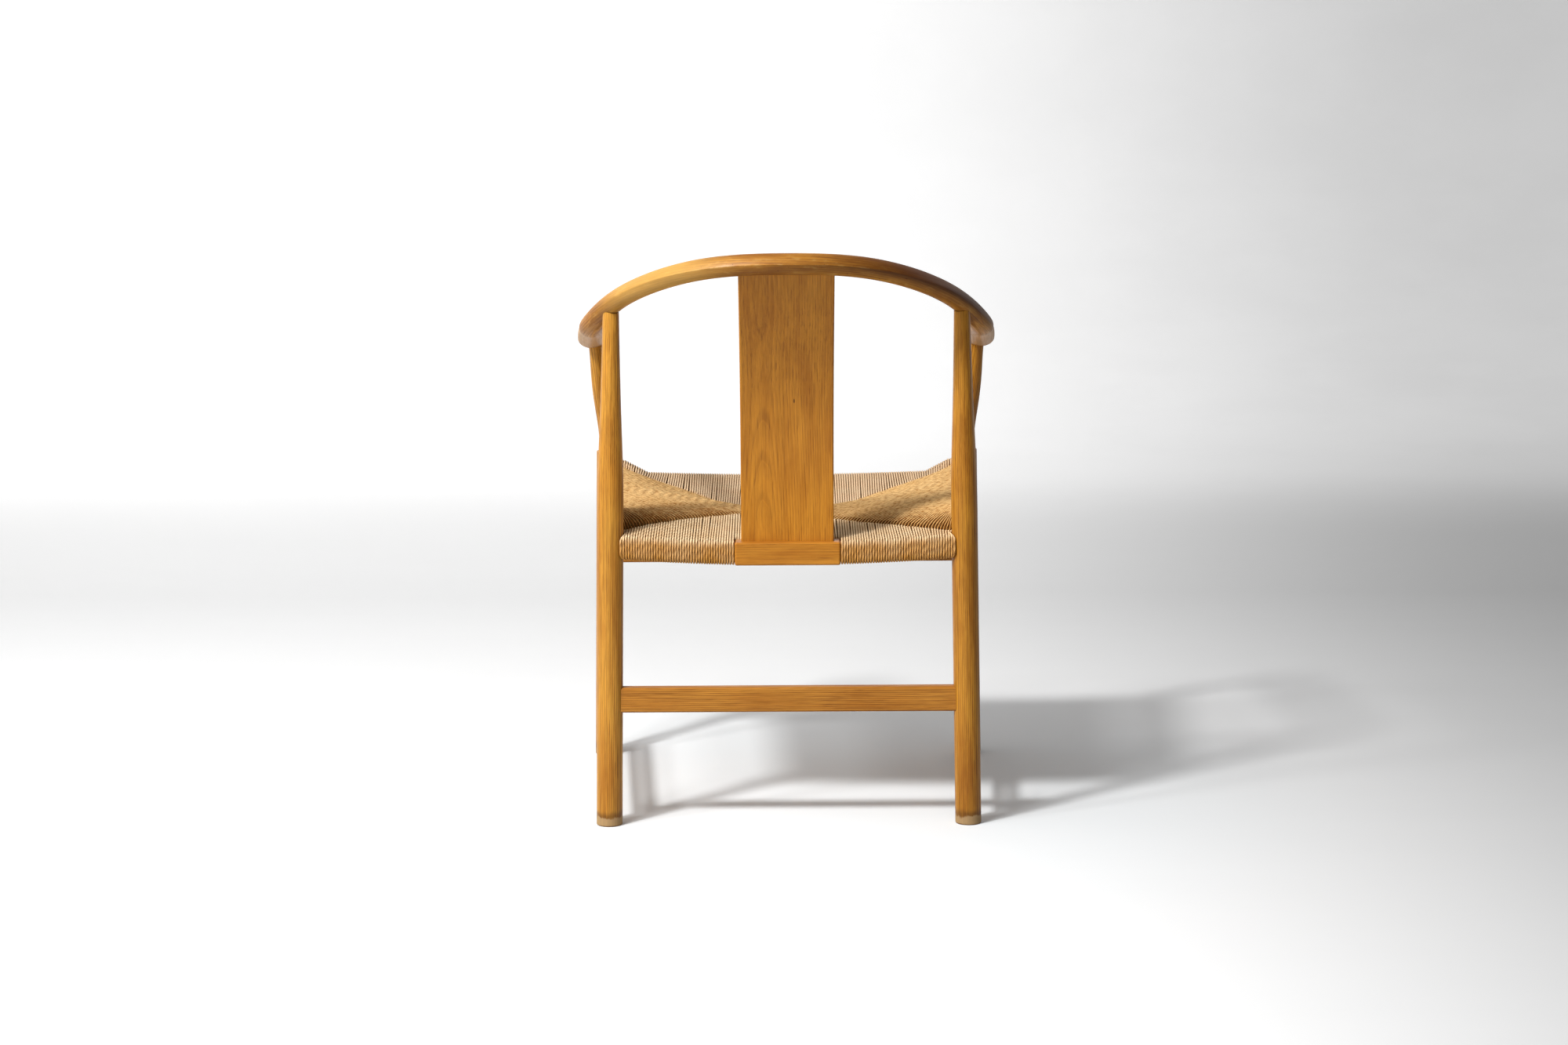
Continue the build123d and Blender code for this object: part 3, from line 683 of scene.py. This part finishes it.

# %% [markdown]
# ## The cord itself
# Paper cord is three strips of kraft paper, each twisted into a ply, laid together. From arm's length the plies show
# as a slanting flicker along each cord. The UV map turns that into a height: u counts once round the cord and v once
# for each turn, so three times u plus v is constant along a ply. The grooves between plies get painted shade, and so
# do the sides where a cord faces its neighbours. The tops are pale, and the upright wraps and the high sides more
# golden; the normal of the surface tells the two apart, and noise breaks up the border.

# %% The paper-cord finish
def paper_cord(name, pale_colour, golden_colour, fuzz=0.4):
    """Paper cord between a pale colour on its tops and a golden one on upright faces; fuzz is how strongly its loose
    strands show.
    """
    material, tree = new_finish(name)
    u, v, _ = split_up(tree, add(tree, "UVMap", uv_map="lay"))
    ply = maths(tree, "FRACT", maths(tree, "ADD", times(tree, u, 3.0), v))
    crown = maths(tree, "SINE", times(tree, ply, math.pi))
    painted_groove_shade = fade(tree, crown, 0.0, 0.55, 1.0, 0.0)
    turn = times(tree, u, 2 * math.pi)
    outward, sideward = maths(tree, "COSINE", turn), maths(tree, "SINE", turn)
    between = fade(tree, maths(tree, "ABSOLUTE", outward), 0.82, 0.15)
    normal = split_up(tree, add(tree, "NewGeometry", out=1))
    facing_up = fade(tree, normal[2], -0.2, 1.0)
    # The tops lean to the pale colour and the upright faces to the golden one, broken up by noise.
    blotches = times(tree, noise(tree, own_place(tree), (22, 22, 22), detail=3.0), 0.6)
    gold = maths(tree, "SUBTRACT", maths(tree, "ADD", blotches, 0.56), times(tree, facing_up, 0.62))
    colour = blend(tree, gold, pale_colour, golden_colour)
    along = add(tree, "CombineXYZ", {0: outward, 1: sideward, 2: times(tree, v, 2.2)})
    strands = noise(tree, along, (1.1, 1.1, 1.0), detail=3.0, roughness=0.65)
    colour = tint(tree, colour, fade(tree, strands, 0.44, 0.66), fuzz, rgb(150, 90, 26))
    # Painted shade in the grooves between the plies.
    colour = tint(tree, colour, painted_groove_shade, 0.30, rgb(140, 84, 26))
    # Painted shade on the sides where a cord faces its neighbours, a little weaker on the tops.
    shaded = times(tree, between, fade(tree, facing_up, 0.2, 1.0, 1.0, 0.72))
    colour = tint(tree, colour, shaded, 0.84, rgb(100, 56, 14))
    stretch = maths(tree, "FLOOR", times(tree, v, 0.04))
    colour = tint(tree, colour, add(tree, "TexWhiteNoise", {"W": stretch}, noise_dimensions="1D"), 0.10)
    bump = add(tree, "Bump", {"Height": crown, "Strength": 0.75, "Distance": 0.0006})
    inputs = {"Base Color": colour, "Normal": bump, "Roughness": 0.85, "Specular IOR Level": 0.08}
    add(tree, "OutputMaterial", {"Surface": add(tree, "BsdfPrincipled", inputs)})
    return material


rear_cord = paper_cord("paper_cord_rear", rgb(252, 230, 190), rgb(208, 146, 64))
side_cord = paper_cord("paper_cord_side", rgb(240, 202, 142), rgb(196, 144, 72), fuzz=0.9)
front_cord = paper_cord("paper_cord_front", rgb(250, 224, 188), rgb(218, 172, 116))
print("three shades of cord")

# %% [markdown]
# ## Weave the four fields
# The rear and front rails sag a little, as bent ones do, and the side rails climb towards the front. In the
# middle of the rear rail the bare block that holds the splat takes the place of the wraps: the cords there turn
# down in front of it. By the front legs the cords are heaped over the joint, about 15 mm high.
# Every rail is a function: told a place along the rail, w, it gives the rail's middle there.

# %% Weave
def cross_rail(y, z, sag, half_length):
    """The line of a rail from side to side, which sags in its middle."""
    return lambda w: np.array((w, y, z - sag * (1 - (w / half_length) ** 2)))


def side_rail(side):
    """The line of the left side rail, side 1, or of the right one, side -1."""
    start, end = leg_axis(rear_foot, rear_top, 0.424), leg_axis(front_foot, front_top, 0.441)

    def made(w):
        share = (start[1] - w) / (start[1] - end[1])
        return (start + (end - start) * share) * (side, 1, 1)

    return made


# Half the width and height of a seat rail and the rounding of its edges, and how far the block's front stands
# from the rail's middle, each taken to the middle line of the cord that lies on it.
wood_sizes = (0.012, 0.0135, 0.005, 0.0165)
rail_half_w, rail_half_h, rail_round, block_front = (size + slack + cord_radius for size in wood_sizes)
block_outline = rounded_outline(np.array((-block_front - 0.0016, 0.0)), 0.0016, 0.0160, 0.0015)
block_reach, block_gap = 0.0725, 0.0060
layers_at_centre, more_at_leg = 0.0185, 0.0125  # how far apart the cord's two layers are, and how much more
heap_from, heap_run = 0.210, 0.032
field_sag, side_bulge = -0.0010, 0.0075
sway_by, lift_by, lean_by, parting_by = 0.00014, 0.00022, 0.0011, 0.0006  # how far hands lay cords out of line
card_every, shortest_card, gap_at_rail, gap_at_seam, below_rail = 3, 0.045, 0.020, 0.005, 0.004


def clear_of_legs(points, along_x):
    """Moves cord points along their rail until they clear the legs."""
    reach = leg_radius + cord_radius + slack
    for foot, top in ((rear_foot, rear_top), (front_foot, front_top)):
        for side in (1, -1):
            axis = leg_axis(foot, top, 0.42)[:2] * (side, 1)
            off = points[..., :2] - axis
            keep, move = (1, 0) if along_x else (0, 1)
            room = np.sqrt(np.maximum(reach**2 - off[..., keep] ** 2, 0))
            inward = -np.sign(axis[move] - (0 if along_x else seat_centre[1]))
            distance = off[..., move] * inward
            short = np.clip(room - distance, 0, None)
            near = np.abs(off[..., keep]) < reach
            points[..., move] += np.where(near & (distance > -reach), short, 0) * inward
    return points


def weave(name, rail, inward, ends, material, replaced, under=0.0, heaped=0.0):
    """Lays the cords of one field, from end to end of its rail, and returns two points of the card for every
    third cord. under lowers the field below its seams, heaped is the height of the hump by the legs."""
    inward = np.array(inward, float)
    count = int(round((ends[1] - ends[0]) / pitch)) + 1
    along_x = abs(inward[1]) > 0.5
    sideways = np.array((1.0, 0, 0) if along_x else (0, 1.0, 0))
    sway, lift = drift(count, 5, sway_by), drift(count, 3, lift_by)
    lean = drift(count, 25, lean_by)
    for parting in rng.integers(8, count - 8, 9) + 0.5:
        apart = np.arange(count) - parting
        lean += parting_by * np.sign(apart) * np.exp(-np.abs(apart) / 3)
    paths, card_line = [], []
    for n, w in enumerate(np.linspace(*ends, count)):
        axis = rail(w)
        run, share, seam = seam_point(axis[:2], inward)
        top = np.interp(share, seam_shares, seam_heights[seam]) - under + lift[n] - cord_radius
        low = top - (layers_at_centre + more_at_leg * share) + under
        stop = max(run - cord_radius * 1.15, rail_half_w + 0.0012)
        if along_x and inward[1] < 0 and abs(w) < block_reach:
            stop, outline = max(stop, block_front + block_gap), block_outline
        else:
            heap = heaped * np.clip((abs(w) - heap_from) / heap_run, 0, 1.1) / 2
            outline = rounded_outline(np.array((0, heap)), rail_half_w, rail_half_h + heap, rail_round)
        seam_top, seam_low = np.array((-stop, top - axis[2])), np.array((-stop, low - axis[2]))
        if along_x:
            swell = field_sag * min(run / 0.2, 1)
        else:
            swell = side_bulge * np.clip((w - seat_centre[1]) / 0.08, 0, min(run / 0.05, 1))
        flat = string_path(outline, seam_top, seam_low, swell)
        share_in = np.clip(-flat[:, 0] / stop, 0, 1)[:, None]
        plan = axis[:2] - inward * flat[:, :1] + sideways[:2] * (sway[n] + lean[n] * share_in)
        paths.append(np.column_stack([plan, axis[2] + flat[:, 1]]))
        if stop > shortest_card and n % card_every == 0:
            for q, height in ((gap_at_rail, axis[2] - below_rail), (stop - gap_at_seam, (top + low) / 2)):
                card_line.append((*(axis[:2] + inward * q), height))
    points, faces, lay = tube(clear_of_legs(np.array(paths), along_x), sideways)
    lay = lay.reshape(-1, 4, 2)
    if (inward[1] if along_x else -inward[0]) > 0:  # turned, so that every face looks outward
        faces, lay = faces[:, ::-1], lay[:, ::-1]
    made = make_piece(name, points, faces.tolist(), material, replaced)
    made.data.uv_layers.new(name="lay")
    made.data.uv_layers["lay"].data.foreach_set("uv", lay.astype(np.float32).ravel())
    print(name, count, "cords,", len(made.data.polygons), "faces")
    return np.array(card_line)


rear_rail = cross_rail(y=0.1597, z=0.3925, sag=0.010, half_length=0.243)
front_rail = cross_rail(y=-0.2905, z=0.420, sag=0.007, half_length=0.2703)
rear_ends, front_ends, side_ends = (-0.2315, 0.2315), (-0.2590, 0.2590), (-0.2790, 0.1480)
humps = {"under": 0.0005, "heaped": 0.0155}
card_lines = {
    "rear": weave("rear_cords", rear_rail, (0, -1), rear_ends, rear_cord, "seat_cord_rear"),
    "front": weave("front_cords", front_rail, (0, 1), front_ends, front_cord, "seat_cord_front", **humps),
}
for name, side in (("side_left", 1), ("side_right", -1)):
    rail, replaced = side_rail(side), f"seat_cord_{name}"
    card_lines[name] = weave(f"{name}_cords", rail, (-side, 0), side_ends, side_cord, replaced, under=0.0022)

# %% [markdown]
# ## The card inside
# Between the two layers of cord a weaver packs folded card, which firms the seat. It is only seen as darkness
# between the cords. Each piece follows the middle between its field's two layers: the weaving handed back one
# point by the rail and one by the seam for every third cord, and a strip a few millimetres thick joins them.

# %% The card
card, tree = new_finish("kraft_card")
pulp = noise(tree, own_place(tree), (300, 300, 300), detail=4.0)
# The brown is darker than kraft paper, so it also paints the shade in the gaps between the cords.
brown = blend(tree, pulp, rgb(112, 82, 52), rgb(80, 56, 34))
bump = add(tree, "Bump", {"Height": pulp, "Strength": 0.4, "Distance": 0.0004})
inputs = {"Base Color": brown, "Roughness": 0.9, "Normal": bump}
add(tree, "OutputMaterial", {"Surface": add(tree, "BsdfPrincipled", inputs)})
half_card = (0, 0, 0.0013)
strip_sides = (((0, 0), (0, 1)), ((1, 1), (1, 0)), ((0, 1), (1, 1)), ((1, 0), (0, 0)))
for name, line in card_lines.items():
    rows = len(line) // 2
    points = np.stack([line + half_card, line - half_card]).reshape(2, rows, 2, 3)
    numbers = np.arange(4 * rows).reshape(2, rows, 2)  # layer, row, and end: by the rail or by the seam
    faces = []
    for r in range(rows - 1):
        for (a, b), (c, d) in strip_sides:
            faces.append(numbers[[a, c, c, a], [r, r, r + 1, r + 1], [b, d, d, b]].tolist())
    faces.append(numbers[[0, 0, 1, 1], 0, [0, 1, 1, 0]].tolist()[::-1])
    faces.append(numbers[[0, 0, 1, 1], -1, [0, 1, 1, 0]].tolist())
    made = make_piece(f"card_{name}", points, faces, card, f"seat_stuffing_{name}")
    made.data.polygons.foreach_set("use_smooth", [False] * len(faces))
print("card in place")

# %% [markdown]
# ## Floor and backdrop
# A studio cove is a floor that turns up into a wall in one sweep, so that there is no hard line behind the chair. It
# should look white without being flooded with light, which would burn out the wood. So the camera sees a mix: partly
# the paint as lit, which keeps the shadow, and partly plain white. The white's share grows up the wall and far from
# the chair. Other rays, which carry light to the chair, see the paint alone, and a darker one. The right side is
# greyer than the left, which is painted shade, as the lamps stand on the left; it also dims the light that the paint
# throws back on the chair's right side. The floor is greyer than the wall. Close to the chair the paint loses a little
# red, which takes back some of the wood's warm light.
# The back of the cove is clear, so it never hides the chair when someone walks round to look at it from the
# front or from below.

# %% Cove
floor_from, floor_to, bend_radius, wall_top, half_width = 7.0, -1.7, 1.2, 6.0, 9.0
profile = [(floor_from, 0.0), (floor_to, 0.0)]
for a in np.radians(np.linspace(6, 90, 15)):
    profile.append((floor_to - bend_radius * math.sin(a), bend_radius * (1 - math.cos(a))))
profile.append((floor_to - bend_radius, wall_top))
cove_mesh = bpy.data.meshes.new("cove")
cove_points = [(x, y, z) for y, z in profile for x in (-half_width, half_width)]
cove_faces = [(2 * i + 1, 2 * i, 2 * i + 2, 2 * i + 3) for i in range(len(profile) - 1)]
cove_mesh.from_pydata(cove_points, [], cove_faces)
cove_mesh.polygons.foreach_set("use_smooth", [True] * len(cove_mesh.polygons))
cove = bpy.data.objects.new("cove", cove_mesh)
bpy.context.scene.collection.objects.link(cove)


def seen_directly(tree, glossy=1.0):
    """1 for what the camera sees, also through clear things, and the glossy share for what shiny things mirror."""
    ray = tree.nodes.new("ShaderNodeLightPath")
    mirrored = ray.outputs["Is Glossy Ray"] if glossy == 1.0 else times(tree, ray.outputs["Is Glossy Ray"], glossy)
    direct = maths(tree, "MAXIMUM", ray.outputs["Is Camera Ray"], mirrored)
    return maths(tree, "MAXIMUM", direct, ray.outputs["Is Transmission Ray"])


white = (1.0, 1.0, 1.0, 1.0)
paint, tree = new_finish("white_paint")
direct = seen_directly(tree)
x, y, z = split_up(tree, own_place(tree))
scuffs = noise(tree, own_place(tree), (2.5, 9, 3), detail=5.0, roughness=0.6)
# Painted shade: the paint is greyer towards the right.
aside = fade(tree, x, -1.7, 0.1, 0.52, 1.0)
tone = maths(tree, "ADD", aside, fade(tree, z, 0.05, 0.17, 0.0, 1.0))
tone = times(tree, tone, fade(tree, scuffs, 0.3, 0.7, 0.93, 1.0))
paint_tone = times(tree, aside, fade(tree, direct, 0.0, 1.0, 0.62, 1.0))
distance = add(tree, "VectorMath", {0: own_place(tree)}, out=1, operation="LENGTH")
chair_near = fade(tree, distance, 0.3, 0.9, 1.0, 0.0)
cuts = (0.045, 0.015, 0.0)  # of red, green and blue
cooler = [times(tree, paint_tone, maths(tree, "MULTIPLY_ADD", chair_near, -cut, 1.0)) for cut in cuts]
lit = add(tree, "BsdfDiffuse", {"Color": add(tree, "CombineColor", dict(enumerate(cooler)))})
far = maths(tree, "MAXIMUM", fade(tree, y, 1.3, 4.0), fade(tree, maths(tree, "ABSOLUTE", x), 1.9, 3.2))
glow = maths(tree, "MAXIMUM", fade(tree, z, 0.0, 0.3, 0.08, 0.22), far)
plain = add(tree, "Emission", {"Color": white, "Strength": maths(tree, "MAXIMUM", tone, far)})
surface = add(tree, "MixShader", {0: times(tree, direct, glow), 1: lit, 2: plain})
from_behind = add(tree, "NewGeometry", out=6)
surface = add(tree, "MixShader", {0: from_behind, 1: surface, 2: add(tree, "BsdfTransparent")})
add(tree, "OutputMaterial", {"Surface": surface})
cove_mesh.materials.append(paint)
print("cove", len(profile), "steps deep")

# %% [markdown]
# ## Light
# A round lamp high on the left, over the space between camera and chair, gives the chair its bright left edges
# and throws the long soft shadow away to the right. Two weaker ones, one farther out and one nearer in, blur the
# shadow's edge. The white room does the rest: the world's light fades from the upper left to the lower right.
# The camera sees the room as plain white, and shiny things mirror a quarter of that.

# %% Lamps and world
aim, lamp_size = (0, -0.1, 0.3), 0.5


def lamp(name, place, power):
    """A round lamp that points at the chair."""
    data = bpy.data.lights.new(name, "AREA")
    data.shape, data.size, data.energy = "DISK", lamp_size, power
    made = bpy.data.objects.new(name, data)
    made.location = place
    made.rotation_euler = (Vector(aim) - Vector(place)).to_track_quat("-Z", "Y").to_euler()
    bpy.context.scene.collection.objects.link(made)


lamp("key", (1.85, 2.1, 3.1), 118)
lamp("second", (2.8, 1.9, 3.1), 30)
lamp("high", (1.15, 2.0, 3.2), 24)
world = bpy.data.worlds.new("white_room")
bpy.context.scene.world = world
world.use_nodes = True
tree = world.node_tree
tree.nodes.clear()
x, _, z = split_up(tree, add(tree, "TexCoord", out=0))
sky = maths(tree, "ADD", times(tree, x, 1.35), times(tree, z, 1.1))
room = add(tree, "Background", {"Color": white, "Strength": fade(tree, sky, -0.4, 1.7, 0.02, 0.74)})
shown = add(tree, "Background", {"Color": white, "Strength": 1.0})
add(tree, "OutputWorld", {"Surface": add(tree, "MixShader", {0: seen_directly(tree, 0.25), 1: room, 2: shown})})
bpy.context.scene.view_settings.view_transform = "Standard"
print("lamps and world set")
